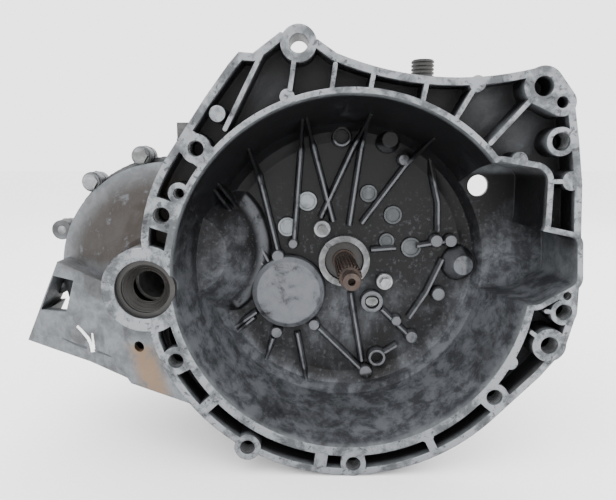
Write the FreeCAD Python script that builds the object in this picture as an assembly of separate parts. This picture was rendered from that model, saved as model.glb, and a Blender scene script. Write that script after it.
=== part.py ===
import FreeCAD, Part
import math
import os

# Two-shaft, five-speed manual transaxle seen from its clutch housing.
# Frame: the origin is the input shaft's axis at the engine face. +X is right and +Z is up for
# someone who looks into the clutch housing, and +Y runs from the engine face into the gearbox.
# Millimetres throughout.

# --- shaft layout -----------------------------------------------------------------------------
SPEED_MODULE = 2.25
SPEED_TOOTH_SUM = 60
SHAFT_DISTANCE = SPEED_MODULE * SPEED_TOOTH_SUM / 2
FINAL_MODULE = 2.75
PINION_TEETH = 20
RING_TEETH = 74
FINAL_DISTANCE = FINAL_MODULE * (PINION_TEETH + RING_TEETH) / 2
DRIVE_TEETH = {"first": 14, "second": 20, "third": 25, "fourth": 30, "fifth": 35}
REVERSE_TEETH = (14, 24, 40)
BACKLASH = 0.35
FIT = 0.05

# --- stations along Y -------------------------------------------------------------------------
POCKET_DEPTH = 28
FLANGE_DEPTH = 34
FLOOR_FRONT = 98
FLOOR_BACK = 106
JOINT_FACE = 118
RING_GEAR_Y = (130, 152)
REVERSE_Y = (156, 166)
REVERSE_TRAVEL = 19
HUB_12_Y = 199
HUB_34_Y = 264
HUB_5_Y = 330
REAR_WALL = (298, 318)
CASE_STEP_Y = 158
COVER_END = 379
DIFF_CENTRE_Y = 163
SELECTOR_Y = 150

# --- synchroniser proportions -----------------------------------------------------------------
HUB_HALF = 9
SLEEVE_HALF = 8
SYNCHRO_GAP = 3
DOG_LENGTH = 6
GEAR_WIDTH = 13
SHIFT_TRAVEL = 7.5
DOG_TEETH = 20
DOG_SLACK = 0.8
DOG_ROOT = 31.0
DOG_TIP = 33.2
SLEEVE_RADIUS = 42
GROOVE_RADIUS = 37.5
GROOVE_WIDTH = 7

# --- clutch housing ---------------------------------------------------------------------------
BELL_MOUTH = 162.5
BELL_FLOOR = 138
BELL_WALL = 5
RIM_RADIUS = 168.8
RIM_DROP = 2.2
STRIP = 6.5
FLANGE_RADIUS = 190
NOSE_RADIUS = 38.8
SEAL_BORE = 27
BEARING_BORE = 33
WALL = 5.5
LUG_RADIUS = 10.5
LUG_OFFSET = 14.5
FRONT_LUG_Y = (104, 118)
REAR_LUG_Y = (118, 130)

# --- selector ---------------------------------------------------------------------------------
SELECTOR_X = 88
ROD_X = 38
ROD_RADIUS = 7
ROD_Z = {"12": 58, "34": 79, "5": 100}
JAW_Z = {"12": 69, "34": 79, "5": 89}
FINGER_REACH = 32


def polar(radius, degrees, centre=(0, 0)):
    """Point in the XZ plane at a radius and an angle from +X towards +Z."""
    a = math.radians(degrees)
    return (centre[0] + radius * math.cos(a), centre[1] + radius * math.sin(a))


def bearing_angle(start, end):
    """Direction from one XZ point to another, in degrees."""
    return math.degrees(math.atan2(end[1] - start[1], end[0] - start[0]))


INPUT = (0.0, 0.0)
OUTPUT = polar(SHAFT_DISTANCE, 209)
DIFF = polar(FINAL_DISTANCE, 170, OUTPUT)


def idler_centre():
    """Centre of the reverse idler, which meshes with one gear on each shaft, below the line between them."""
    near = SPEED_MODULE * (REVERSE_TEETH[0] + REVERSE_TEETH[1]) / 2
    far = SPEED_MODULE * (REVERSE_TEETH[1] + REVERSE_TEETH[2]) / 2
    along = (near ** 2 - far ** 2 + SHAFT_DISTANCE ** 2) / (2 * SHAFT_DISTANCE)
    aside = math.sqrt(near ** 2 - along ** 2)
    line = bearing_angle(INPUT, OUTPUT)
    return polar(aside, line + 90, polar(along, line))


IDLER = idler_centre()
REVERSE_ROD = (46, -14)

# Circles that the gear chamber's wall runs round: x, z and inner radius.
DIFF_RING = (*DIFF, 108.5)
OUTPUT_RING = (*OUTPUT, 64)
IDLER_RING = (*IDLER, 36)
SELECTOR_RING = (59, 78, 51)
CASE_RINGS = (DIFF_RING, OUTPUT_RING, IDLER_RING, SELECTOR_RING)
GEAR_RINGS = (OUTPUT_RING, IDLER_RING, SELECTOR_RING)
COVER_RINGS = ((*OUTPUT, 56), (*INPUT, 45), (38, 97, 16))


# --- geometry helpers ---------------------------------------------------------------------------
def vec(x, y, z):
    return FreeCAD.Vector(x, y, z)


def flat(point):
    return vec(point[0], 0, point[1])


def trace(start, *steps):
    """Closed wire in the XZ plane. A step is a corner, or a pair: a point on an arc and its end."""
    edges = []
    here = start
    for step in steps + (start,):
        if isinstance(step[0], tuple):
            edges.append(Part.Arc(flat(here), flat(step[0]), flat(step[1])).toShape())
            here = step[1]
        elif math.dist(here, step) > 0.001:
            edges.append(Part.LineSegment(flat(here), flat(step)).toShape())
            here = step
    return Part.Wire(edges)


def belt(*circles):
    """Closed wire round circles (x, z, radius), given counter-clockwise, as a belt runs over pulleys."""
    runs = []
    for (x0, z0, r0), (x1, z1, r1) in zip(circles, circles[1:] + circles[:1]):
        line = bearing_angle((x0, z0), (x1, z1))
        lean = math.degrees(math.asin((r0 - r1) / math.dist((x0, z0), (x1, z1))))
        out = line - 90 + lean
        runs.append((out, polar(r0, out, (x0, z0)), polar(r1, out, (x1, z1))))
    steps = []
    for i, (out, leave, reach) in enumerate(runs):
        x, z, r = circles[(i + 1) % len(circles)]
        following = runs[(i + 1) % len(runs)]
        turn = (following[0] - out) % 360
        steps.append(reach)
        steps.append((polar(r, out + turn / 2, (x, z)), following[1]))
    return trace(steps[-1][1], *steps)


def prism(wire, y0, y1):
    """Solid from a wire in the XZ plane, between two stations along Y."""
    face = Part.Face(wire)
    face.translate(vec(0, y0, 0))
    return face.extrude(vec(0, y1 - y0, 0))


def cylinder(centre, radius, y0, y1):
    return Part.makeCylinder(radius, y1 - y0, vec(centre[0], y0, centre[1]), vec(0, 1, 0))


def cone(centre, r0, r1, y0, y1):
    return Part.makeCone(r0, r1, y1 - y0, vec(centre[0], y0, centre[1]), vec(0, 1, 0))


def tube(centre, outer, inner, y0, y1):
    return cylinder(centre, outer, y0, y1).cut(cylinder(centre, inner, y0, y1))


def bar(start, end, width, y0, y1):
    """Round-ended strip between two XZ points."""
    half = width / 2
    return prism(belt((start[0], start[1], half), (end[0], end[1], half)), y0, y1)


def upright(radius, x, y, z0, z1):
    return Part.makeCylinder(radius, z1 - z0, vec(x, y, z0), vec(0, 0, 1))


def box(x, y, z):
    """Box between pairs of coordinates."""
    return Part.makeBox(x[1] - x[0], y[1] - y[0], z[1] - z[0], vec(x[0], y[0], z[0]))


def slab(points, along):
    """Plate with the given corner points, pushed out by a vector."""
    return Part.Face(Part.makePolygon(points + points[:1])).extrude(along)


def fuse(shapes):
    return shapes[0].multiFuse(shapes[1:]).removeSplitter() if len(shapes) > 1 else shapes[0]


def cut(shape, tools):
    return shape.cut(tools) if tools else shape


def hexagon(centre, across_flats, y0, y1):
    corner = across_flats / math.sqrt(3)
    return prism(trace(*[polar(corner, 60 * i, centre) for i in range(6)]), y0, y1)


def hex_bolt(centre, radius, head_front, tip, towards=1):
    """Flanged hex bolt along Y: head from head_front, shank on to tip."""
    face = head_front + towards * radius * 1.6
    low, high = sorted((head_front, face))
    washer = sorted((face - towards * radius * 0.45, face))
    shank = sorted((face, tip))
    head = hexagon(centre, radius * 3.2, low, high)
    return fuse([head, cylinder(centre, radius * 2, *washer), cylinder(centre, radius, *shank)])


# --- toothed shapes -----------------------------------------------------------------------------
def tooth_loop(teeth, stations, turn, centre=(0, 0)):
    """Closed polygon of teeth; stations are (radius, half angle) from the root to the tip."""
    corners = []
    for i in range(teeth):
        middle = turn + 360 * i / teeth
        corners += [polar(r, middle - half, centre) for r, half in stations]
        corners += [polar(r, middle + half, centre) for r, half in reversed(stations)]
    return trace(*corners)


def involute(angle):
    return math.tan(angle) - angle


def gear_loop(teeth, module, turn, centre):
    """Involute teeth with straight facets, slightly thin so that meshed pairs have backlash."""
    pitch = module * teeth / 2
    base = pitch * math.cos(math.radians(20))
    half_pitch = (math.pi * module / 2 - BACKLASH) / 2 / pitch
    stations = []
    for radius in (pitch - 1.2 * module, pitch, pitch + 0.92 * module):
        pressure = math.acos(min(1, base / radius))
        half = half_pitch + involute(math.radians(20)) - involute(pressure)
        stations.append((radius, math.degrees(half)))
    return tooth_loop(teeth, stations, turn, centre)


def gear(teeth, module, centre, y0, y1, turn):
    return prism(gear_loop(teeth, module, turn, centre), y0, y1)


def mesh_turn(centre_a, teeth_a, turn_a, centre_b, teeth_b):
    """Rotation of gear b that puts its gaps on the teeth of gear a."""
    pitch_a = 360 / teeth_a
    phase = (bearing_angle(centre_a, centre_b) - turn_a) / pitch_a
    return bearing_angle(centre_b, centre_a) + (phase + 0.5) * 360 / teeth_b


def spline(centre, root, tip, teeth, y0, y1, ease=0.0):
    """Straight-sided spline or dog teeth; ease enlarges it all round to make its socket."""
    width = 90 / teeth
    widen = math.degrees(ease / tip)
    stations = [(root + ease, width + widen), (tip + ease, width * 0.8 + widen)]
    return prism(tooth_loop(teeth, stations, 0, centre), y0, y1)


# --- clutch housing -----------------------------------------------------------------------------
TOP_LUG = (-46.3, 203.2)
CORNER_LUGS = ((163.3, 168.0), (180.0, 154.6))
FLANGE_HOLES = {
    "top": (TOP_LUG, 8.0),
    "corner_large": (CORNER_LUGS[0], 8.5),
    "corner_small": (CORNER_LUGS[1], 5.0),
    "right_upper": ((181.0, 121.4), 8.0),
    "left_upper": ((-135.8, 115.4), 7.0),
    "left_small": ((-151.9, 76.6), 4.8),
    "left_middle": ((-168.1, 57.2), 7.5),
    "left_lower": ((-159.9, -77.0), 7.0),
    "bottom_left": ((-95.4, -162.2), 7.0),
    "bottom": ((4.6, -179.0), 7.0),
    "bottom_right": ((135.1, -112.4), 7.5),
    "right_lower": ((182.8, -62.2), 8.0),
    "right_low_a": ((193.9, -31.0), 7.5),
    "right_low_b": ((196.0, -15.7), 3.8),
}
# Bosses round the flange holes and the blind pads between them: centre and radius.
FLANGE_BOSSES = [
    (TOP_LUG, 15.5),
    ((181.0, 121.4), 12.5),
    ((-135.8, 115.4), 13),
    ((-151.9, 76.6), 9.5),
    ((-168.1, 57.2), 13),
    ((-159.9, -77.0), 13),
    ((-95.4, -162.2), 12.5),
    ((4.6, -179.0), 12),
    ((135.1, -112.4), 13),
    ((182.8, -62.2), 15.5),
    ((193.9, -31.0), 12),
    ((196.0, -15.7), 8),
    ((-116.4, 145.0), 7),
    ((-56.2, 159.2), 6.5),
    ((106.5, 170.0), 7),
    ((146.0, 105.6), 7),
    ((193.0, 87.5), 8.5),
    ((148.5, -78.9), 6.5),
    ((73.6, -150.7), 6.5),
]
# Solid stretches of the flange between pockets: angle about the input shaft and width.
FLANGE_SPOKES = [
    (139.8, 22), (161, 28), (206, 24), (222.4, 11), (261.5, 12), (271.5, 22), (296, 8), (320, 24),
]
# Thin ribs across the flange pockets.
FLANGE_RIBS = [
    ((-110, 132), (-78, 194)),
    ((-54, 163), (-50, 190)),
    ((-18, 165), (-15, 186)),
    ((15, 164), (18, 180)),
    ((60, 154), (64, 175)),
    ((90, 142), (104, 166)),
    ((120, 120), (156, 160)),
    ((176, 87), (190, 87)),
    ((166, -50), (182, -62)),
    ((178, -30), (192, -32)),
]
STARTER_HOLE = ((134.5, 80), 10.7)
STARTER_DEPTH = 80
BOTTOM_SPAN = (197.5, 316.5)


def flange_outline():
    """Outer edge of the engine face, clockwise from the lower left."""
    low_left = polar(FLANGE_RADIUS, BOTTOM_SPAN[0])
    low_right = polar(FLANGE_RADIUS, BOTTOM_SPAN[1])
    left_top = (-158, 113)
    return trace(
        low_left,
        (-187, 36),
        (polar(193, 159), left_top),
        (-127, 158),
        (-106, 186),
        (-97, 196),
        (-85, 195),
        (-62, 212),
        (-30, 206),
        (-14, 195),
        ((74, 175.5), (160, 184)),
        (176, 177),
        (190, 156),
        (196, 124),
        (202, 84),
        (206, 8),
        (206, -30),
        (197, -66),
        (176, -92),
        low_right,
        (polar(FLANGE_RADIUS, 257), low_left),
    )


def wide_recess(y0, y1, grow=0):
    """Starter recess: an upper pocket under the corner lug and a wider lower one down to the rim."""
    upper = belt((159, 86, 13 + grow), (130, 92, 12 + grow), (118, 50, 12 + grow), (159, 50, 13 + grow))
    corners = [(120, 46), (120, -20), (168, -16), (196, 0), (194, 30)]
    lower = belt(*[(x, z, 8 + grow) for x, z in corners])
    return [prism(upper, y0, y1), prism(lower, y0, y1)]


def flange():
    """Engine face: an outer strip, the bell's rim and thin ribs between them, with blind pockets."""
    outline = flange_outline()
    block = prism(outline, 0, FLANGE_DEPTH)
    lugs = [cylinder(c, r, 0, FLANGE_DEPTH) for c, r in FLANGE_BOSSES]
    corner = prism(belt((*CORNER_LUGS[1], 12), (*CORNER_LUGS[0], 17)), 0, FLANGE_DEPTH)
    block = fuse([block, corner] + lugs)
    pocket = Part.Face(outline).makeOffset2D(-STRIP)
    pocket.translate(vec(0, -1, 0))
    pocket = pocket.extrude(vec(0, POCKET_DEPTH + 1, 0))
    solid = [cylinder((0, -RIM_DROP), RIM_RADIUS, -2, POCKET_DEPTH + 1), corner]
    solid += wide_recess(-2, POCKET_DEPTH + 1, 4.5)
    solid += [cylinder(DIFF, NOSE_RADIUS + 2, -2, POCKET_DEPTH + 1)]
    solid += [cylinder(c, r, -2, POCKET_DEPTH + 1) for c, r in FLANGE_BOSSES]
    solid += [bar(a, b, 4, -2, POCKET_DEPTH + 1) for a, b in FLANGE_RIBS]
    solid += [bar(polar(155, a), polar(187, a), w, -2, POCKET_DEPTH + 1) for a, w in FLANGE_SPOKES]
    return block.cut(cut(pocket, solid))


def chamber(rings, grow, y0, y1):
    """Prism round the given rings, each grown outwards."""
    return prism(belt(*[(x, z, r + grow) for x, z, r in rings]), y0, y1)


def beside(a, b, share, offset):
    """Point outside the straight run between two rings, at a share of its length."""
    lean = math.degrees(math.asin((a[2] - b[2]) / math.dist(a[:2], b[:2])))
    out = bearing_angle(a[:2], b[:2]) - 90 + lean
    start = polar(a[2] + offset, out, a[:2])
    end = polar(b[2] + offset, out, b[:2])
    return (start[0] + share * (end[0] - start[0]), start[1] + share * (end[1] - start[1]))


def joint_lugs():
    """Centres of the bolts between gear case and clutch housing; the first two show from the front."""
    lugs = [polar(DIFF_RING[2] + LUG_OFFSET, a, DIFF) for a in (102.6, 130.8, 160, 188, 216, 244)]
    lugs += [beside(DIFF_RING, OUTPUT_RING, 0.5, LUG_OFFSET), polar(64 + LUG_OFFSET, 284, OUTPUT)]
    lugs += [polar(36 + LUG_OFFSET, 312, IDLER), beside(IDLER_RING, SELECTOR_RING, 0.55, LUG_OFFSET)]
    lugs += [polar(SELECTOR_RING[2] + LUG_OFFSET, -20, SELECTOR_RING)]
    lugs += [beside(SELECTOR_RING, DIFF_RING, share, LUG_OFFSET) for share in (0.05, 0.3, 0.54, 0.78)]
    return lugs


# The foot plate: X where it is measured from, its front there, its slope, and its thickness.
FOOT_START = (-170, 14)
FOOT_SLOPE = -0.39
FOOT_THICKNESS = 9


def foot_front(x):
    return FOOT_START[1] + FOOT_SLOPE * (x - FOOT_START[0])


def foot_plate():
    """Sloping web between the differential nose and the lower left corner, with a window and a skirt."""
    outline = trace(
        (-290, 5), (-236, -12), (-205, 10), (-172, -20), (-168, -60), (-152, -112),
        (-150, -121), (-212, -111), (-216, -106), (-258, -95), (-300, -88), (-334, -82),
    )
    window = prism(trace((-296, -10), (-272, -13), (-283, -46), (-314, -47)), -1, JOINT_FACE + 1)
    left, right = [(x, foot_front(x)) for x in (-400, -120)]
    thick = [(x, y + FOOT_THICKNESS) for x, y in (right, left)]
    sheet = slab([vec(x, y, -200) for x, y in (left, right, *thick)], vec(0, 0, 300))
    behind = slab([vec(x, y, -200) for x, y in (left, right, (-120, 400), (-400, 400))], vec(0, 0, 300))
    body = prism(outline, 0, JOINT_FACE)
    core = prism(Part.Face(outline).makeOffset2D(-7).OuterWire, -1, JOINT_FACE + 1)
    return [body.common(sheet).cut(window), body.cut(core).common(behind).cut(window)]


# Ribs on the bell's floor, each from its outer to its inner end. The first set climbs the wall.
WALL_RIBS = [
    ((-96, 121), (-69, 6)),
    ((-44, 137), (-53, 20)),
    ((-38, 139), (-12, 42)),
    ((18, 140), (-25, 46)),
    ((19, 137), (5, 38)),
    ((77, 120), (18, 40)),
    ((-124, 82), (-80, 0)),
    ((-128, 76), (-86, -4)),
]
FLOOR_RIBS = [
    ((54, 14), (28, 12)),
    ((-128, -80), (-93, -55)),
    ((-124, -85), (-96, -61)),
    ((-86, -114), (-76, -84)),
    ((-40, -132), (-50, -78)),
    ((22, -122), (-27, -73)),
    ((20, -110), (7, -34)),
    ((73, -84), (40, -52)),
    ((84, 116), (97, 62)),
    ((97, 62), (98, 32)),
    ((104, 2), (88, -34)),
    ((88, -34), (70, -62)),
    ((58, -92), (40, -103)),
    ((112, 22), (76, 16)),
]
FLOOR_RIB_HEIGHT = 10
RIB_CREST = 2.2
RIB_FOOT = 8
# Web up the wall: radius where it leaves the floor rib, radius where it ends, Y where it ends.
RIB_CLIMB = (118, 150, 48)
WEB = 2.8
FLOOR_PINS = [
    ((73, -82), 6), ((100, -35), 6.5), ((-72, -77), 5.5), ((-32, -68.5), 5.5), ((60, 106), 5.5),
    ((56, -64), 5), ((24, -121), 6.5), ((96, 22), 6), ((111, 22), 6), ((-70, 6), 6),
    ((-54, 19), 4.5), ((77, 119), 5),
]
FLOOR_TUBES = [((-4, 129), 9.5, 7.5), ((36, -105), 9, 6.5)]
FLOOR_PLUGS = [
    ((-39, 63), 10), ((-60, 36), 10), ((25, 71), 9), ((51, 48.5), 9.5), ((71, 14), 10.5), ((45, 21), 8),
]
CARRIER_BOLTS = [(-23.5, 34.3), (43, -22)]
OIL_UNION = (29.5, -42.7)
DIFF_BULGE = (-159, 14)


def floor_rib(outer, inner):
    """Rib with a narrow crest and a broad foot."""
    crest = FLOOR_FRONT - FLOOR_RIB_HEIGHT
    across = bearing_angle(inner, outer) + 90
    half, foot = RIB_CREST / 2, RIB_FOOT / 2
    corners = [(-foot, FLOOR_FRONT + 1), (-half, crest), (half, crest), (foot, FLOOR_FRONT + 1)]
    spots = [(polar(offset, across, inner), y) for offset, y in corners]
    length = vec(outer[0] - inner[0], 0, outer[1] - inner[1])
    return slab([vec(spot[0], y, spot[1]) for spot, y in spots], length)


def wall_rib(outer, inner):
    """Web that carries a rib from the floor up the bell's wall."""
    start, end, top = RIB_CLIMB
    ahead = bearing_angle(inner, outer)
    unit = polar(1, ahead)
    along = inner[0] * unit[0] + inner[1] * unit[1]
    off_axis = math.hypot(*inner) ** 2 - along ** 2
    rise = math.sqrt(start ** 2 - off_axis) - along
    reach = math.sqrt(end ** 2 - off_axis) - along
    crest = FLOOR_FRONT - FLOOR_RIB_HEIGHT
    corners = [(rise - 5, FLOOR_FRONT), (rise, crest), (reach, top), (reach + 5, FLOOR_FRONT)]
    face = polar(-WEB / 2, ahead + 90, inner)
    spots = [(polar(distance, ahead, face), y) for distance, y in corners]
    return slab([vec(spot[0], y, spot[1]) for spot, y in spots], flat(polar(WEB, ahead + 90)))


# Gap between the nose's ring and the bell's rim, as X, Y and Z.
NOSE_GAP = ((-153, -140), (-3, 14), (-32, 14))


def clutch_housing():
    """Bell, floor, flange, differential nose and the front half of the gear chamber, cast in one."""
    bell_outer = cone((0, 0), BELL_MOUTH + BELL_WALL, BELL_FLOOR + BELL_WALL, 0, FLOOR_BACK)
    nose = [cylinder(DIFF, NOSE_RADIUS, 0, 62), cone(DIFF, 44, DIFF_RING[2] + WALL, 48, FLOOR_FRONT)]
    rim = chamber(CASE_RINGS, WALL, FLOOR_FRONT, JOINT_FACE)
    recess = wide_recess(0, STARTER_DEPTH + 6, 5)
    lugs = [cylinder(c, LUG_RADIUS, *FRONT_LUG_Y) for c in joint_lugs()]
    gussets = [gusset(a) for a in (20, 100, 125, 150, 235, 260, 285, 310)]
    outer = fuse([flange(), bell_outer, rim] + nose + recess + lugs + foot_plate() + gussets)
    mouth = cylinder((0, 0), BELL_MOUTH, -3, 0)
    hollow = bell_space(0) + [mouth] + wide_recess(-3, STARTER_DEPTH)
    hollow += [box(*NOSE_GAP)]
    hollow += [chamber(CASE_RINGS, 0, FLOOR_BACK, JOINT_FACE + 1)]
    dome = cone(DIFF, 34, DIFF_RING[2] - 4, 62, FLOOR_BACK)
    hollow += [dome.cut(cone((0, 0), BELL_MOUTH + BELL_WALL, BELL_FLOOR + BELL_WALL, 0, FLOOR_BACK))]
    body = outer.cut(hollow)
    body = fuse([body] + floor_details() + chamber_bosses())
    room = cone(DIFF_BULGE, 36, 79, 57, FLOOR_BACK + 1)
    room = room.common(cylinder((0, 0), BELL_FLOOR - 14, 50, FLOOR_BACK + 1))
    return body.cut(housing_holes() + [room])


def bell_space(grow):
    """The bell's inside: a cone that turns into the floor in two steps."""
    profile = [(BELL_MOUTH, 0), (142.5, 80), (135, 91), (124, FLOOR_FRONT)]
    return [cone((0, 0), a[0] + grow, b[0] + grow, a[1], b[1]) for a, b in zip(profile, profile[1:])]


def gusset(degrees):
    """Outside rib from the flange's back to the bell's waist."""
    corners = [(140, 30), (184, 30), (150, 98), (140, 98)]
    rib = slab([vec(r, y, -2.5) for r, y in corners], vec(0, 0, 5))
    rib.rotate(vec(0, 0, 0), vec(0, 1, 0), -degrees)
    return rib


def floor_details():
    """Ribs, pins, tubes, the output bearing's dome and the differential's bulge on the bell's floor."""
    rib_front = FLOOR_FRONT - FLOOR_RIB_HEIGHT
    foot = FLOOR_FRONT + 1
    raised = [floor_rib(*rib) for rib in WALL_RIBS + FLOOR_RIBS] + [wall_rib(*rib) for rib in WALL_RIBS]
    raised += [cone(DIFF_BULGE, 40, 84, 54, foot)]
    raised += [cone((44, 126), 8, 14, 78, foot), cone((122, -2), 10, 20, 76, foot)]
    raised = [shape.common(fuse(bell_space(2))) for shape in raised]
    pins = [cone(c, r, r + 1.5, rib_front - 2, foot) for c, r in FLOOR_PINS]
    tubes = [cone(c, outer, outer + 1.5, rib_front - 2, foot) for c, outer, inner in FLOOR_TUBES]
    seats = [cylinder(c, 9, rib_front + 4, foot) for c in CARRIER_BOLTS]
    seats += [tube(OIL_UNION, 11.5, 7.5, rib_front - 3, foot)]
    dome = [cone(OUTPUT, 38, 40, 87, foot), cone(OUTPUT, 33, 38, 83, 87)]
    return raised + pins + tubes + seats + dome


def chamber_bosses():
    """Seats behind the floor for the front bearings, the rods and the idler shaft."""
    parts = [tube(INPUT, 33, 26, FLOOR_BACK - 2, JOINT_FACE)]
    parts += [cylinder(OUTPUT, 37, FLOOR_FRONT - 2, FLOOR_BACK + 4)]
    parts += [cylinder((ROD_X, z), 10, FLOOR_BACK - 2, 128) for z in ROD_Z.values()]
    parts += [cylinder(IDLER, 14, FLOOR_BACK - 2, 121), cylinder(REVERSE_ROD, 10, FLOOR_BACK - 2, 121)]
    return parts


def housing_holes():
    """Everything drilled or bored in the clutch housing."""
    holes = [cylinder(c, r, -1, POCKET_DEPTH) for c, r in FLANGE_HOLES.values()]
    holes += [cylinder(TOP_LUG, FLANGE_HOLES["top"][1], -1, FLANGE_DEPTH + 1)]
    holes += [cylinder(INPUT, 20, FLOOR_FRONT - 1, FLOOR_BACK + 1), cylinder(INPUT, 26, 102, JOINT_FACE + 1)]
    holes += [cylinder(OUTPUT, 31, 92, FLOOR_BACK + 5)]
    holes += [cylinder(DIFF, SEAL_BORE, -1, 22), cylinder(DIFF, 24, 20, 63)]
    holes += [cylinder(DIFF, BEARING_BORE, 62, 90)]
    holes += [cylinder((ROD_X, z), ROD_RADIUS + FIT, 108, 129) for z in ROD_Z.values()]
    holes += [cylinder(IDLER, 9, 108, 122), cylinder(REVERSE_ROD, 6, 108, 122)]
    holes += [cylinder(c, inner, 80, 96) for c, outer, inner in FLOOR_TUBES]
    holes += [cylinder(c, r, FLOOR_FRONT - 3, FLOOR_FRONT + 4) for c, r in FLOOR_PLUGS]
    holes += [cylinder(c, 4, 85, 104) for c in CARRIER_BOLTS + [OIL_UNION]]
    holes += [cylinder(STARTER_HOLE[0], STARTER_HOLE[1], STARTER_DEPTH - 1, STARTER_DEPTH + 7)]
    holes += [cylinder(c, 4.4, FRONT_LUG_Y[0] - 2, JOINT_FACE + 1) for c in joint_lugs()]
    holes += [cylinder((-201, -72), 5.2, 10, 60)]
    return holes


# --- gear case and end cover ----------------------------------------------------------------------
TOWER = (SELECTOR_X, SELECTOR_Y)
PLUG_SPOTS = ((-59, 240, -108), (22, 318, -58))
SENSOR = (-172, 138)
BREATHER = (58, 250)
MOUNT_PAD_Z = 112
MOUNT_PAD_HOLES = [(x, y) for x in (-58, 12) for y in (204, 274)]
BOLT_RADIUS = 4.4


def cover_lugs():
    """Centres of the end cover's bolts, round the output shaft, the input shaft and the fork rod."""
    lugs = [polar(69, a, OUTPUT) for a in (150, 195, 240, 285)]
    return lugs + [polar(58, 320), polar(58, 350), polar(29, 5, (38, 97)), polar(29, 75, (38, 97))]


def mount_pad():
    """Raised pad with three webs, where the gearbox hangs from the car body."""
    plate = box((-75, 29), (190, 288), (MOUNT_PAD_Z - 14, MOUNT_PAD_Z))
    webs = [box((-75, 29), (y, y + 8), (-10, MOUNT_PAD_Z - 5)) for y in (190, 235, 280)]
    return [plate] + webs


def gear_case():
    """Rear shell: the ring gear's bulge with its output nose, and the gear chamber up to the rear wall."""
    outer = [chamber(CASE_RINGS, WALL, JOINT_FACE, CASE_STEP_Y)]
    outer += [chamber(GEAR_RINGS, WALL, JOINT_FACE, REAR_WALL[1])]
    outer += [cone(DIFF, DIFF_RING[2] + WALL, 47, CASE_STEP_Y, 208), cylinder(DIFF, 41, 200, 240)]
    outer += [chamber(CASE_RINGS, LUG_OFFSET - 4, JOINT_FACE, JOINT_FACE + 8)]
    outer += [cylinder(c, LUG_RADIUS, *REAR_LUG_Y) for c in joint_lugs()]
    outer += [cylinder(c, 9, REAR_WALL[0], REAR_WALL[1]) for c in cover_lugs()]
    outer += [upright(25, *TOWER, 90, 136), upright(14, SENSOR[0], SENSOR[1], 90, 114)]
    outer += [upright(14, PLUG_SPOTS[0][0], PLUG_SPOTS[0][1], PLUG_SPOTS[0][2], -90)]
    outer += [upright(10, *BREATHER, 120, 140)] + mount_pad() + case_ribs()
    outer += [cylinder((PLUG_SPOTS[1][0], PLUG_SPOTS[1][2]), 14, REAR_WALL[1] - 4, REAR_WALL[1] + 4)]
    inner = [chamber(CASE_RINGS, 0, JOINT_FACE - 1, CASE_STEP_Y - WALL)]
    inner += [chamber(GEAR_RINGS, 0, JOINT_FACE - 1, REAR_WALL[0])]
    inner += [cone(DIFF, DIFF_RING[2], 40, CASE_STEP_Y - WALL, 203)]
    body = fuse(outer).cut(inner)
    bosses = [cylinder((ROD_X, z), 11, REAR_WALL[0] - 10, REAR_WALL[0] + 1) for z in ROD_Z.values()]
    return fuse([body] + bosses).cut(case_holes())


def case_ribs():
    """Outside stiffening: webs across the bulge's back and hoops round the gear chamber."""
    hoops = [chamber(GEAR_RINGS, WALL + 4, y, y + 5) for y in (205, 245, REAR_WALL[0] - 2)]
    webs = []
    for angle in (60, 100, 140, 180, 220, 260, 300):
        corners = [(30, 160), (112, 160), (112, 164), (48, 214), (30, 214)]
        points = [vec(r, y, -3) for r, y in corners]
        web = slab(points, vec(0, 0, 6))
        web.rotate(vec(0, 0, 0), vec(0, 1, 0), -angle)
        web.translate(flat(DIFF))
        webs.append(web)
    return hoops + webs


def case_holes():
    """Bores and tapped holes of the gear case."""
    back = REAR_WALL[1] + 5
    front = REAR_WALL[0] - 11
    holes = [cylinder(INPUT, 26, front + 10, back), cylinder(OUTPUT, 31, front + 10, back)]
    holes += [cylinder(DIFF, BEARING_BORE, 201, 222), cylinder(DIFF, 24, 221, 228)]
    holes += [cylinder(DIFF, SEAL_BORE, 227, 241)]
    holes += [cylinder((ROD_X, ROD_Z[k]), ROD_RADIUS, front, REAR_WALL[1] - 4) for k in ("12", "34")]
    holes += [cylinder((ROD_X, ROD_Z["5"]), ROD_RADIUS + FIT, front, back)]
    holes += [cylinder(c, BOLT_RADIUS, JOINT_FACE - 1, REAR_LUG_Y[1] + 1) for c in joint_lugs()]
    holes += [cylinder(c, 3.4, REAR_WALL[1] - 16, back) for c in cover_lugs()]
    holes += [upright(16, *TOWER, 80, 138), upright(9, *SENSOR, 80, 115), upright(5, *BREATHER, 110, 141)]
    holes += [upright(3.4, x, y, 112, 137) for x, y in tower_screws()]
    holes += [upright(8, PLUG_SPOTS[0][0], PLUG_SPOTS[0][1], -112, -85)]
    holes += [cylinder((PLUG_SPOTS[1][0], PLUG_SPOTS[1][2]), 8, REAR_WALL[0] - 1, back)]
    holes += [upright(5.1, x, y, MOUNT_PAD_Z - 16, MOUNT_PAD_Z + 1) for x, y in MOUNT_PAD_HOLES]
    holes += [slanted(9, 0, 30)]
    return holes


def slanted(radius, low, high):
    """Cylinder square to the gear chamber's upper left side, where the reversing light switch screws in."""
    foot = beside(SELECTOR_RING, OUTPUT_RING, 0.33, low - 8)
    out = bearing_angle(foot, beside(SELECTOR_RING, OUTPUT_RING, 0.33, high))
    tip = math.radians(out)
    axis = vec(math.cos(tip), 0, math.sin(tip))
    return Part.makeCylinder(radius, high - low, vec(foot[0], 172.5, foot[1]), axis)


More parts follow.
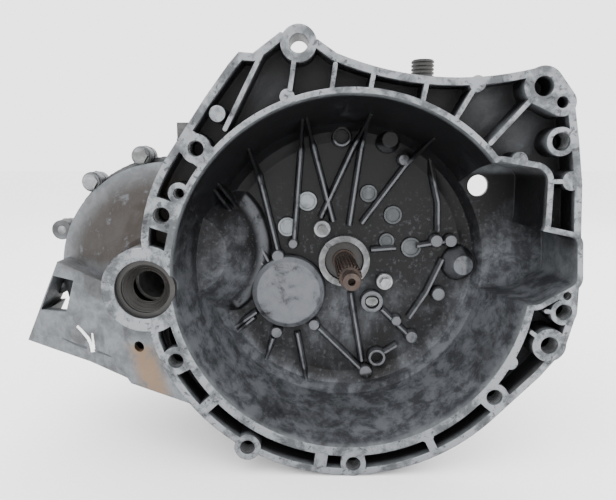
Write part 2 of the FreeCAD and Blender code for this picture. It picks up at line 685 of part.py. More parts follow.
def end_cover():
    """Shallow dish over fifth gear, with its bolting flange."""
    wall = REAR_WALL[1]
    body = [chamber(COVER_RINGS, 5, wall, COVER_END), chamber(COVER_RINGS, 14, wall, wall + 8)]
    body += [cylinder(c, 9, wall, wall + 10) for c in cover_lugs()]
    body += [cylinder(c, r, COVER_END - 4, COVER_END + 3) for c, r in ((INPUT, 24), (OUTPUT, 28))]
    hollow = chamber(COVER_RINGS, 0, wall - 1, COVER_END - 6)
    holes = [cylinder(c, 3.4, wall - 1, wall + 11) for c in cover_lugs()]
    plug_room = cylinder((PLUG_SPOTS[1][0], PLUG_SPOTS[1][2]), 17, wall - 1, wall + 20)
    return fuse(body).cut([hollow, plug_room] + holes)


# --- fasteners, plugs, seals and fittings -----------------------------------------------------------
def case_bolts():
    """Flanged bolts through the joint lugs; the two that show from the front have their heads there."""
    lugs = joint_lugs()
    front = [hex_bolt(c, BOLT_RADIUS, FRONT_LUG_Y[0] - 7.04, REAR_LUG_Y[1], 1) for c in lugs[:2]]
    rear = [hex_bolt(c, BOLT_RADIUS, REAR_LUG_Y[1] + 7.04, FRONT_LUG_Y[0], -1) for c in lugs[2:]]
    return front + rear


def tower_screws():
    return [(TOWER[0] - 22, TOWER[1]), (TOWER[0] + 22, TOWER[1])]


def m8_bolts():
    """Bolts of the end cover and of the selector tower, all one size."""
    front = REAR_WALL[1] + 10
    bolts = [hex_bolt(c, 3.4, front + 5.44, front - 24, -1) for c in cover_lugs()]
    for x, y in tower_screws():
        bolt = hex_bolt((0, 0), 3.4, 5.44, -24, -1)
        bolt.rotate(vec(0, 0, 0), vec(1, 0, 0), 90)
        bolt.translate(vec(x, y, 144))
        bolts.append(bolt)
    return bolts


def retainer_bolts():
    """Bolts with washers on the bell's floor that hold the input bearing's retainer behind it."""
    return [
        fuse([hexagon(c, 10, 81, 89), cylinder(c, 8.4, 89, 92), cylinder(c, 4, 92, 104)])
        for c in CARRIER_BOLTS
    ]


def oil_union():
    """Oval-headed plug of the oil gallery."""
    x, z = OIL_UNION
    head = bar((x - 2.2, z), (x + 2.2, z), 8.6, 87, 92)
    return fuse([head, cylinder(OIL_UNION, 7, 91, 95), cylinder(OIL_UNION, 4, 94, 104)])


def floor_plugs():
    """Pressed core plugs in the bell's floor."""
    return [cylinder(c, r, FLOOR_FRONT - 3, FLOOR_FRONT + 1).cut(
        cylinder(c, r - 2.2, FLOOR_FRONT - 4, FLOOR_FRONT - 1.6)) for c, r in FLOOR_PLUGS]


def seal_carrier():
    """Guide ring round the input shaft with a drain notch."""
    ring = tube(INPUT, 27, 20.5, 90, FLOOR_FRONT)
    return ring.cut(bar(polar(18, 135), polar(30, 135), 5, 88, 93))


def input_seal():
    return tube(INPUT, 20, 12 + FIT, FLOOR_FRONT - 3, FLOOR_FRONT + 4)


def lip_seal(front, facing):
    """Steel-cased ring whose rubber lip narrows towards the inside; facing is 1 where it opens to -Y."""
    case = tube(DIFF, SEAL_BORE, 22.5, *sorted((front, front + facing * 12)))
    stretch = sorted((front + facing * 3, front + facing * 12))
    outer, inner = [cone(DIFF, *radii[::facing], *stretch) for radii in ((24, 16.5), (22, 14.5))]
    return fuse([case, outer.cut(inner)])


def diff_seals():
    return [lip_seal(5, 1), lip_seal(239, -1)]


def oil_plugs():
    """Drain plug below the gear chamber and level plug in its rear wall."""
    plug = fuse([hexagon((0, 0), 19, 0, 8), cylinder((0, 0), 12.5, 6, 8), cylinder((0, 0), 8, 8, 22)])
    plug = plug.cut(cylinder((0, 0), 5, -1, 5))
    drain = plug.copy()
    drain.rotate(vec(0, 0, 0), vec(1, 0, 0), 90)
    x, y, z = PLUG_SPOTS[0]
    drain.translate(vec(x, y, z - 8))
    level = plug.copy()
    level.rotate(vec(0, 0, 0), vec(0, 0, 1), 180)
    x, y, z = PLUG_SPOTS[1]
    level.translate(vec(x, y + 12, z))
    return [drain, level]


def breather():
    steps = [(5, 126, 148), (9, 140, 143), (10, 148, 156)]
    return fuse([upright(r, *BREATHER, z0, z1) for r, z0, z1 in steps]).cut(upright(2, *BREATHER, 123, 150))


def reverse_switch():
    return fuse([slanted(9, 0, 22), slanted(13, 14.2, 24), slanted(10, 22, 42), slanted(6, 40, 52)])


def speed_sensor():
    x, y = SENSOR
    body = fuse([upright(9, x, y, 101, 132), upright(14, x, y, 114, 119), upright(11, x, y, 119, 129)])
    plug = box((x - 9, x + 9), (y - 7, y + 7), (126, 146))
    return fuse([body, plug]).cut(box((x - 7, x + 7), (y - 5, y + 5), (134, 147)))


# --- bearings -------------------------------------------------------------------------------------
ROLLERS = 13


def bearing_pair(centre, bore, outside, fronts, width, race):
    """Inner races, and outer races each with a caged ring of rollers, at two places on one shaft."""
    inner = []
    outer = []
    middle = (bore + outside) / 2
    roller = (outside - bore) / 2 - race - 0.12
    for y in fronts:
        inner.append(tube(centre, bore + race, bore, y, y + width))
        outer.append(tube(centre, outside, outside - race, y, y + width))
        spots = [polar(middle, 360 * i / ROLLERS, centre) for i in range(ROLLERS)]
        rollers = [cylinder(spot, roller, y + 2, y + width - 2) for spot in spots]
        outer.append(fuse([tube(centre, middle + 0.8, middle - 0.8, y + 1, y + width - 1)] + rollers))
    return inner, outer


# --- shafts and gears -------------------------------------------------------------------------------
HUB_SIDES = {
    "first": (HUB_12_Y, -1),
    "second": (HUB_12_Y, 1),
    "third": (HUB_34_Y, -1),
    "fourth": (HUB_34_Y, 1),
    "fifth": (HUB_5_Y, 1),
}
TO_OUTPUT = bearing_angle(INPUT, OUTPUT)
TO_DIFF = bearing_angle(DIFF, OUTPUT)


def span(centre, side, near, far):
    """Stretch along Y on one side of a hub, in rising order."""
    return sorted((centre + side * near, centre + side * far))


def gear_span(name):
    near = HUB_HALF + SYNCHRO_GAP + DOG_LENGTH
    return span(*HUB_SIDES[name], near, near + GEAR_WIDTH)


def drive_gear(name, bore=None):
    """Gear on the input shaft, pressed on where a bore is given."""
    teeth = DRIVE_TEETH[name]
    y0, y1 = gear_span(name)
    blank = gear(teeth, SPEED_MODULE, INPUT, y0, y1, TO_OUTPUT)
    return blank.cut(cylinder(INPUT, bore, y0 - 1, y1 + 1)) if bore else blank


def driven_gear(name, bore):
    """Loose gear on the output shaft with its ring of dog teeth."""
    teeth = SPEED_TOOTH_SUM - DRIVE_TEETH[name]
    y0, y1 = gear_span(name)
    turn = mesh_turn(INPUT, DRIVE_TEETH[name], TO_OUTPUT, OUTPUT, teeth)
    blank = gear(teeth, SPEED_MODULE, OUTPUT, y0, y1, turn)
    dogs = span(*HUB_SIDES[name], HUB_HALF + SYNCHRO_GAP, HUB_HALF + SYNCHRO_GAP + DOG_LENGTH)
    ring = spline(OUTPUT, DOG_ROOT, DOG_TIP, DOG_TEETH, *dogs, -DOG_SLACK)
    groove = max(0, SPEED_MODULE * teeth / 2 - 10)
    body = fuse([blank, ring])
    if groove > 36:
        side = HUB_SIDES[name][1]
        face = y1 if side > 0 else y0
        relief = sorted((face + side * 1, face - side * 3.5))
        body = body.cut(tube(OUTPUT, groove, 27, *relief))
    return body.cut(cylinder(OUTPUT, bore + FIT, y0 - 20, y1 + 20))


def input_shaft():
    """Pilot, clutch spline, seal and bearing journals, with first, reverse and second gear cut on it."""
    rods = [(7.8, -14, 6), (9.8, 4, 72), (10.4, 70, 92), (12, 92, 102), (13, 102, 118), (12, 118, 152)]
    rods += [(11.2, 152, 182), (14, 182, REAR_WALL[0] + 2), (13, REAR_WALL[0] + 2, REAR_WALL[1])]
    rods += [(12.5, REAR_WALL[1], 364), (10, 364, 369)]
    solids = [cylinder(INPUT, r, y0, y1) for r, y0, y1 in rods]
    solids += [spline(INPUT, 9.8, 11.3, 22, 8, 70), drive_gear("first"), drive_gear("second")]
    solids += [gear(REVERSE_TEETH[0], SPEED_MODULE, INPUT, *REVERSE_Y, TO_OUTPUT)]
    centre_drill = cylinder(INPUT, 3.4, -15, -4)
    return fuse(solids).cut(centre_drill)


def output_shaft():
    """Final drive pinion with the journals for the bearings, the loose gears and the hubs."""
    back = REAR_WALL[0] - 1
    rods = [(15, 93, 108), (19, 107, 132), (20, 150, back), (15, back, 364), (12, 364, 369)]
    pinion = gear(PINION_TEETH, FINAL_MODULE, OUTPUT, *RING_GEAR_Y, pinion_turn())
    return fuse([cylinder(OUTPUT, r, y0, y1) for r, y0, y1 in rods] + [pinion])


def pinion_turn():
    return mesh_turn(DIFF, RING_TEETH, TO_DIFF, OUTPUT, PINION_TEETH)


def idler_turn():
    first = bearing_angle(INPUT, OUTPUT)
    return mesh_turn(INPUT, REVERSE_TEETH[0], first, IDLER, REVERSE_TEETH[1])


def reverse_driven_gear():
    turn = mesh_turn(IDLER, REVERSE_TEETH[1], idler_turn(), OUTPUT, REVERSE_TEETH[2])
    blank = gear(REVERSE_TEETH[2], SPEED_MODULE, OUTPUT, *REVERSE_Y, turn)
    return blank.cut(cylinder(OUTPUT, 20, REVERSE_Y[0] - 1, REVERSE_Y[1] + 1))


def hub(y, bore):
    body = spline(OUTPUT, DOG_ROOT, DOG_TIP, DOG_TEETH, y - HUB_HALF, y + HUB_HALF)
    grooves = [tube(OUTPUT, 28, bore + 4, y + s * HUB_HALF - 3, y + s * HUB_HALF + 3) for s in (-1, 1)]
    return body.cut(grooves + [cylinder(OUTPUT, bore, y - 20, y + 20)])


def sleeve(y):
    ring = cylinder(OUTPUT, SLEEVE_RADIUS, y - SLEEVE_HALF, y + SLEEVE_HALF)
    socket = spline(OUTPUT, DOG_ROOT, DOG_TIP, DOG_TEETH, y - 20, y + 20, 0.15)
    half = GROOVE_WIDTH / 2
    return ring.cut([socket, tube(OUTPUT, SLEEVE_RADIUS + 1, GROOVE_RADIUS, y - half, y + half)])


def baulk_rings():
    rings = []
    for centre, side in HUB_SIDES.values():
        y0, y1 = span(centre, side, HUB_HALF + 0.4, HUB_HALF + SYNCHRO_GAP - 0.4)
        ring = spline(OUTPUT, DOG_ROOT, DOG_TIP, DOG_TEETH, y0, y1, -DOG_SLACK)
        rings.append(ring.cut(cylinder(OUTPUT, 26, y0 - 1, y1 + 1)))
    return rings


# --- shift forks and selector -----------------------------------------------------------------------
def rod_fit(rod):
    """Bore on a rod: the first two forks slide on theirs, fifth's is pressed on and moves with it."""
    return ROD_RADIUS if rod == "5" else ROD_RADIUS + FIT


def fork(rod, y):
    """Half ring in the sleeve's groove, cranked arm, and the boss on the rod."""
    z = ROD_Z[rod]
    half = (GROOVE_WIDTH - 0.6) / 2
    ring = tube(OUTPUT, 50, GROOVE_RADIUS + 0.4, y - half, y + half)
    open_side = prism(trace(*[polar(90, a, OUTPUT) for a in (155, 200, 245, 290, 335)]), y - 10, y + 10)
    knee = (-12, 44)
    arm = [bar((-42, 14), knee, 13, y - half, y + half), bar(knee, (ROD_X - 4, z), 14, y - half, y + half)]
    boss = [cylinder((ROD_X, z), 9.5, y - 9, y + 15)]
    body = fuse([ring.cut(open_side)] + arm + boss)
    return body.cut(cylinder((ROD_X, z), rod_fit(rod), y - 30, y + 30))


def jaw(rod, y):
    """Rail from a fork's boss to the selector, ending in the jaw that the finger pushes."""
    z = ROD_Z[rod]
    level = JAW_Z[rod]
    low, high = SELECTOR_Y - 12, SELECTOR_Y + 12
    near, far = ROD_X + 8.2, ROD_X + 12.2
    boss = cylinder((ROD_X, z), 9.5, low, high)
    plate = box((near, far), (low, max(y, high)), (min(z - 4, level - 3), max(z + 4, level + 3)))
    web = box((ROD_X, near + 1), (low, high), (z - 3, z + 3))
    tongue = box((near, ROD_X + 24), (low, high), (level - 3, level + 3))
    notch = box((far, ROD_X + 25), (SELECTOR_Y - 4.7, SELECTOR_Y + 4.7), (level - 4, level + 4))
    body = fuse([boss, plate, tongue, web])
    return body.cut([notch, cylinder((ROD_X, z), rod_fit(rod), low - 1, high + 1)])


def fifth_fork():
    """Fork and jaw on one sliding rod, on either side of the rear wall."""
    return [fork("5", HUB_5_Y), jaw("5", SELECTOR_Y)]


def fixed_rods():
    return [cylinder((ROD_X, ROD_Z[k]), ROD_RADIUS, 109, REAR_WALL[1] - 6) for k in ("12", "34")]


def reverse_idler():
    low = REVERSE_Y[0] - REVERSE_TRAVEL
    teeth = gear(REVERSE_TEETH[1], SPEED_MODULE, IDLER, low, low + 10, idler_turn())
    body = fuse([teeth, cylinder(IDLER, 15, low - 13, low)]).cut(tube(IDLER, 16, 12.5, low - 9, low - 4))
    return body.cut(cylinder(IDLER, 9 + FIT, low - 20, low + 20))


def reverse_fork():
    """Fork with its own guide pin, which slides in the clutch housing and shifts the idler."""
    low = REVERSE_Y[0] - REVERSE_TRAVEL - 8.7
    ring = tube(IDLER, 20, 12.8, low, low + 4.4)
    away = bearing_angle(REVERSE_ROD, IDLER)
    fan = [polar(40, away + a, IDLER) for a in (-60, 0, 60)]
    gap = prism(trace(polar(2, away - 90, IDLER), *fan), low - 1, low + 6)
    arm = bar(polar(20, away + 180, IDLER), REVERSE_ROD, 12, low, low + 4.4)
    pin = cylinder(REVERSE_ROD, 6, 109, low + 30)
    return fuse([ring.cut(gap), arm, cylinder(REVERSE_ROD, 9, low - 2, low + 14), pin])


def selector_tower():
    """Housing that the selector shaft comes out of, on top of the gear case."""
    body = [upright(16, *TOWER, 120, 136), upright(14, *TOWER, 130, 160)]
    body += [upright(24, *TOWER, 136, 144)] + [upright(9, x, y, 136, 144) for x, y in tower_screws()]
    holes = [upright(8 + FIT, *TOWER, 110, 170)] + [upright(3.4, x, y, 130, 150) for x, y in tower_screws()]
    return fuse(body).cut(holes)


def selector_shaft():
    return upright(8, *TOWER, 56, 200)


def selector_finger():
    """Hub and finger on the selector shaft; its round tip sits in the jaw of third and fourth."""
    z = ROD_Z["34"]
    tip = SELECTOR_X - FINGER_REACH
    arm = box((tip, SELECTOR_X - 5), (SELECTOR_Y - 2.4, SELECTOR_Y + 2.4), (z - 4, z + 4))
    ends = [upright(10.4, *TOWER, z - 6, z + 6), upright(4.1, tip, SELECTOR_Y, z - 4, z + 4)]
    return fuse(ends + [arm]).cut(upright(8, *TOWER, 60, 100))


def interlock_sleeve():
    """Guard that rides up and down with the selector shaft but doesn't turn with it."""
    z = ROD_Z["34"]
    rings = [upright(13.8, *TOWER, z - 15, z - 6.3), upright(13.8, *TOWER, z + 6.3, z + 15)]
    strip = box((SELECTOR_X + 10.8, SELECTOR_X + 13.8), (SELECTOR_Y - 6, SELECTOR_Y + 6), (z - 15, z + 15))
    return fuse(rings + [strip]).cut(upright(8 + FIT, *TOWER, 50, 110))


def shift_lever():
    """Lever clamped on the selector shaft, with the ball that the gearshift cable clips on to."""
    hub_part = upright(14, *TOWER, 172, 184)
    arm = box((SELECTOR_X - 7, SELECTOR_X + 7), (SELECTOR_Y + 6, SELECTOR_Y + 66), (175, 181))
    eye = (SELECTOR_X, SELECTOR_Y + 66)
    end = [upright(10, *eye, 175, 181), upright(4, *eye, 175, 192)]
    ball = Part.makeSphere(6.5, vec(*eye, 194))
    return fuse([hub_part, arm, ball] + end).cut(upright(8, *TOWER, 170, 190))


def selector_cap():
    """Ribbed dust cap on the top end of the selector shaft."""
    body = [upright(11, *TOWER, 186, 214)] + [upright(12.5, *TOWER, z, z + 1.8) for z in range(187, 213, 4)]
    return fuse(body).cut(upright(8, *TOWER, 180, 200))


# --- differential -----------------------------------------------------------------------------------
BEVEL_MODULE = 4
SIDE_TEETH = 14
PLANET_TEETH = 10
BEVEL_CONE = math.hypot(BEVEL_MODULE * SIDE_TEETH / 2, BEVEL_MODULE * PLANET_TEETH / 2)
BEVEL_FACE = 10
BEVEL_BACKLASH = 0.8
CROSS_PIN_RADIUS = 8
CAGE_RADIUS = 47
CAGE_HOLLOW = 40.8


def bevel_gear(teeth, mate, bore, hub_radius, back, turn):
    """Straight bevel gear with its cone's tip at the origin and its axis along +Z."""
    pitch = BEVEL_MODULE * teeth / 2
    heel = BEVEL_MODULE * mate / 2
    cone_angle = math.atan2(pitch, heel)
    stations = []
    for height in (-1.15 * BEVEL_MODULE, 0, 0.72 * BEVEL_MODULE):
        angle = cone_angle + math.atan2(height, BEVEL_CONE)
        radius = heel * math.tan(angle)
        grow = math.hypot(radius, heel) / BEVEL_CONE
        half = (math.pi * BEVEL_MODULE / 4 - BEVEL_BACKLASH / 2 - height * math.tan(math.radians(20))) * grow
        stations.append((radius, math.degrees(half / radius)))
    toe = 1 - BEVEL_FACE / BEVEL_CONE
    wires = []
    for scale in (toe, 1):
        loop = tooth_loop(teeth, [(r * scale, a) for r, a in stations], turn)
        loop.rotate(vec(0, 0, 0), vec(1, 0, 0), -90)
        loop.translate(vec(0, 0, heel * scale))
        wires.append(loop)
    blank = Part.makeLoft(wires, True, True)
    body = fuse([blank, Part.makeCylinder(hub_radius, back - heel, vec(0, 0, heel))])
    return body.cut(Part.makeCylinder(bore, 2 * back, vec(0, 0, 0)))


def place_bevel(shape, axis):
    """Turns a bevel gear from +Z to another axis and puts its tip at the differential's centre."""
    turned = shape.copy()
    centre = vec(DIFF[0], DIFF_CENTRE_Y, DIFF[1])
    turned.Placement = FreeCAD.Placement(centre, FreeCAD.Rotation(vec(0, 0, 1), axis))
    return turned


def side_gear(direction):
    body = bevel_gear(SIDE_TEETH, PLANET_TEETH, 13, 22, 33, 0)
    return place_bevel(body, vec(0, direction, 0))


def planet_gear(direction):
    body = bevel_gear(PLANET_TEETH, SIDE_TEETH, CROSS_PIN_RADIUS + FIT, 16, 36, 180 / PLANET_TEETH)
    return place_bevel(body, vec(0, 0, direction))


def diff_case():
    """Cage with two windows, a flange for the ring gear and a hollow journal at each end."""
    centre = vec(DIFF[0], DIFF_CENTRE_Y, DIFF[1])
    body = [Part.makeSphere(CAGE_RADIUS, centre), cylinder(DIFF, 78, 121, RING_GEAR_Y[0])]
    body += [cylinder(DIFF, 20, 42, 125), cylinder(DIFF, 26.5, 78, 121), cylinder(DIFF, 20, 200, 224)]
    hollow = [Part.makeSphere(CAGE_HOLLOW, centre), cylinder(DIFF, 17, 40, 230)]
    window = (DIFF_CENTRE_Y - 20, DIFF_CENTRE_Y + 24)
    hollow += [box((DIFF[0] - 60, DIFF[0] + 60), window, (DIFF[1] - 21, DIFF[1] + 21))]
    hollow += [upright(CROSS_PIN_RADIUS, DIFF[0], DIFF_CENTRE_Y, DIFF[1] - 60, DIFF[1] + 60)]
    hollow += [cylinder(polar(71, 45 * i, DIFF), 5, 120, 131) for i in range(8)]
    return fuse(body).cut(hollow)


def cross_pin():
    return upright(CROSS_PIN_RADIUS, DIFF[0], DIFF_CENTRE_Y, DIFF[1] - 46, DIFF[1] + 46)


def ring_gear():
    blank = gear(RING_TEETH, FINAL_MODULE, DIFF, *RING_GEAR_Y, TO_DIFF)
    holes = [cylinder(polar(71, 45 * i, DIFF), 5, RING_GEAR_Y[0] - 1, RING_GEAR_Y[0] + 16) for i in range(8)]
    relief = tube(DIFF, 93, 80, RING_GEAR_Y[1] - 6, RING_GEAR_Y[1] + 1)
    return blank.cut(holes + [relief, cylinder(DIFF, 62, RING_GEAR_Y[0] - 1, RING_GEAR_Y[1] + 1)])


def ring_gear_bolts():
    return [hex_bolt(polar(71, 45 * i, DIFF), 5, 113, RING_GEAR_Y[0] + 15, 1) for i in range(8)]


# --- the whole transaxle, one file per piece or per set of identical fasteners ------------------------
def build():
    input_inner, input_outer = bearing_pair(INPUT, 13, 26, (102, REAR_WALL[0] + 2), 16, 4)
    output_inner, output_outer = bearing_pair(OUTPUT, 15, 31, (93, REAR_WALL[0] + 2), 14, 5)
    diff_inner, diff_outer = bearing_pair(DIFF, 20, BEARING_BORE, (63, 207), 15, 4)
    return {
        "clutch_housing": [clutch_housing()],
        "gear_case": [gear_case()],
        "end_cover": [end_cover()],
        "seal_carrier": [seal_carrier()],
        "retainer_bolts": retainer_bolts(),
        "oil_union": [oil_union()],
        "floor_plugs": floor_plugs(),
        "case_bolts": case_bolts(),
        "m8_bolts": m8_bolts(),
        "oil_plugs": oil_plugs(),
        "breather": [breather()],
        "reverse_switch": [reverse_switch()],
        "speed_sensor": [speed_sensor()],
        "shaft_seals": [input_seal()] + diff_seals(),
        "selector_tower": [selector_tower()],
        "reverse_idler_shaft": [cylinder(IDLER, 9, 108, 176)],
        "fork_rods_fixed": fixed_rods(),
        "fork_rod_5": [cylinder((ROD_X, ROD_Z["5"]), ROD_RADIUS, 112, HUB_5_Y + 22)],
        "input_bearings_outer": input_outer,
        "output_bearings_outer": output_outer,
        "diff_bearings_outer": diff_outer,
        "input_shaft": [input_shaft()],
        "third_drive_gear": [drive_gear("third", 14)],
        "fourth_drive_gear": [drive_gear("fourth", 14)],
        "fifth_drive_gear": [drive_gear("fifth", 12.5)],
        "input_bearings_inner": input_inner,
        "output_shaft": [output_shaft()],
        "reverse_driven_gear": [reverse_driven_gear()],
        "synchro_hubs": [hub(HUB_12_Y, 20), hub(HUB_34_Y, 20), hub(HUB_5_Y, 15)],
        "baulk_rings": baulk_rings(),
        "output_bearings_inner": output_inner,
        "first_gear": [driven_gear("first", 20)],
        "second_gear": [driven_gear("second", 20)],
        "third_gear": [driven_gear("third", 20)],
        "fourth_gear": [driven_gear("fourth", 20)],
        "fifth_gear": [driven_gear("fifth", 15)],
        "synchro_sleeve_12": [sleeve(HUB_12_Y)],
        "synchro_sleeve_34": [sleeve(HUB_34_Y)],
        "synchro_sleeve_5": [sleeve(HUB_5_Y)],
        "shift_fork_12": [fuse([fork("12", HUB_12_Y), jaw("12", HUB_12_Y)])],
        "shift_fork_34": [fuse([fork("34", HUB_34_Y), jaw("34", HUB_34_Y)])],
        "shift_fork_5": fifth_fork(),
        "reverse_fork": [reverse_fork()],
        "reverse_idler": [reverse_idler()],
        "diff_case": [diff_case()],
        "ring_gear": [ring_gear()],
        "ring_gear_bolts": ring_gear_bolts(),
        "cross_pin": [cross_pin()],
        "diff_bearings_inner": diff_inner,
        "side_gear_left": [side_gear(-1)],
        "side_gear_right": [side_gear(1)],
        "planet_gear_upper": [planet_gear(1)],
        "planet_gear_lower": [planet_gear(-1)],
        "selector_shaft": [selector_shaft()],
        "selector_finger": [selector_finger()],
        "interlock_sleeve": [interlock_sleeve()],
        "shift_lever": [shift_lever()],
        "selector_cap": [selector_cap()],
    }


os.makedirs("parts", exist_ok=True)
for node, solids in build().items():
    shape = solids[0] if len(solids) == 1 else Part.makeCompound(list(solids))
    shape.exportStep("parts/" + node + ".step")
    print(node, len(shape.Solids), round(shape.Volume / 1000, 1), shape.isValid())
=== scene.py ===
import math
import random

import bmesh
import bpy
from mathutils import Matrix, Vector
from mathutils.bvhtree import BVHTree


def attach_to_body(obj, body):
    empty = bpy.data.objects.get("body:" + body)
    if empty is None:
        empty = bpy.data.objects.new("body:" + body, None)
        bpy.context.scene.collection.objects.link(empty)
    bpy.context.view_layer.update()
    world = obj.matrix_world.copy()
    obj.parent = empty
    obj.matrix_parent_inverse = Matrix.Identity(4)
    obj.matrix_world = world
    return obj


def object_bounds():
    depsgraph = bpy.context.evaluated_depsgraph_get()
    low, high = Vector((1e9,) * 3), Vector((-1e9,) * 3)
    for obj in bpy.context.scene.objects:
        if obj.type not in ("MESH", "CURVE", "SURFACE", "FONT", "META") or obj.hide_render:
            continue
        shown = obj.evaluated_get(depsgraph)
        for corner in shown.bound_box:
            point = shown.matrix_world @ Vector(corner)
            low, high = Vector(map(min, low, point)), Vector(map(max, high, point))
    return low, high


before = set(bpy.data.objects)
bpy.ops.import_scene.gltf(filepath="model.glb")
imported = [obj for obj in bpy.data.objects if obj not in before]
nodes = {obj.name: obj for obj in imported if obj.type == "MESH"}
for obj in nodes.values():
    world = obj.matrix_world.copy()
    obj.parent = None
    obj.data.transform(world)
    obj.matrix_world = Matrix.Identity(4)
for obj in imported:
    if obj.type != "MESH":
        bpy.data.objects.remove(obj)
cad_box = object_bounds()
random.seed(7)

MM = 0.001
# Axes along Y: the differential, the output shaft's dome and the bulge that the differential makes.
DIFF = Vector((-186.3, 0, -10.3)) * MM
OUTPUT = Vector((-59.0, 0, -32.7)) * MM
BULGE = Vector((-159.0, 0, 14.0)) * MM
# The bell narrows by this much per metre of depth, so radius + taper * depth stays the same on its wall.
BELL_TAPER = 0.25
# Where the bell's finish ends, out of sight inside the metal: that sum in the middle of the wall, and Y
# behind the front of the floor. The starter recess has a nearer floor.
BELL_EDGE = 0.165
BELL_END = 0.100
RECESS_END = 0.082
# Y just behind the floors of the flange's pockets.
POCKET_END = 0.029
# The floor of the scene is this far below the lowest point of the object.
FLOOR_GAP = 0.0005


# --- camera, floor and light ----------------------------------------------------------------------
def add_camera():
    """Camera that sees the engine face as the photograph does."""
    data = bpy.data.cameras.new("camera")
    data.lens = 33.19
    data.sensor_width = 36
    data.clip_start = 0.01
    obj = bpy.data.objects.new("camera", data)
    obj.location = (-0.0383, -0.500, 0.1056)
    obj.rotation_euler = (math.radians(81), 0, 0)
    bpy.context.collection.objects.link(obj)
    bpy.context.scene.camera = obj


def add_floor(height):
    bpy.ops.mesh.primitive_plane_add(size=30, location=(0, 0, height))
    floor = bpy.context.object
    floor.name = "floor"
    mat = bpy.data.materials.new("floor_paint")
    mat.use_nodes = True
    shader = mat.node_tree.nodes["Principled BSDF"]
    shader.inputs["Base Color"].default_value = (0.93, 0.93, 0.93, 1)
    shader.inputs["Roughness"].default_value = 0.9
    floor.data.materials.append(mat)


def area_light(name, place, target, size, watts):
    data = bpy.data.lights.new(name, "AREA")
    data.size = size
    data.energy = watts
    obj = bpy.data.objects.new(name, data)
    obj.location = place
    obj.rotation_euler = (Vector(target) - Vector(place)).to_track_quat("-Z", "Y").to_euler()
    bpy.context.collection.objects.link(obj)


def add_world():
    world = bpy.data.worlds.new("studio")
    bpy.context.scene.world = world
    world.use_nodes = True
    back = world.node_tree.nodes["Background"]
    back.inputs["Color"].default_value = (1, 1, 1, 1)
    back.inputs["Strength"].default_value = 3.0


